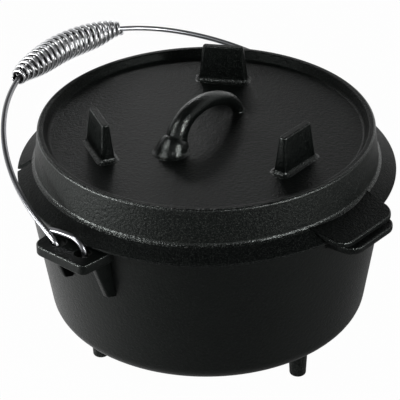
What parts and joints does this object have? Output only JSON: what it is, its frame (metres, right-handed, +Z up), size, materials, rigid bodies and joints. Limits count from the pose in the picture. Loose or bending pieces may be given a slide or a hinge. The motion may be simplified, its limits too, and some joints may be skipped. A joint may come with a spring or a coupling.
{
  "type": "cast iron camp pot",
  "caption": "Round cast iron camp pot on legs, with a flanged lid that has an arched handle and feet, and a hooked wire bail with a wound wire grip.",
  "frame": {"origin": "on the ground, on the pot's axis", "axes": "+Z up; X runs through the two ears that hold the bail; +Y is the side towards which the bail leans at rest, -Y the side of the lifting ear and the lid's tab"},
  "size_m": [0.331, 0.3247, 0.2189],
  "materials": {
    "seasoned_cast_iron": "black seasoned, fine sand-cast grain, satin",
    "bright_steel_wire": "bright drawn wire"
  },
  "bodies": {
    "pot": {"pot": "seasoned_cast_iron"},
    "lid": {"lid": "seasoned_cast_iron"},
    "bail": {"bail": "bright_steel_wire"},
    "grip": {"grip_spring": "bright_steel_wire"}
  },
  "joints": [
    {"name": "lid_lift", "type": "slide", "parent": "pot", "child": "lid", "axis": [0, 0, 1], "range_m": [0, 0.03]},
    {"name": "bail_swing", "type": "hinge", "parent": "pot", "child": "bail", "pos_m": [0, 0, 0.14975], "axis": [1, 0, 0], "range_deg": [0, 112]},
    {"name": "grip_slide", "type": "hinge", "parent": "bail", "child": "grip", "pos_m": [0, 0.02085, 0.15767], "axis": [0, 0.3551, -0.9348], "range_deg": [-16, 15]}
  ]
}
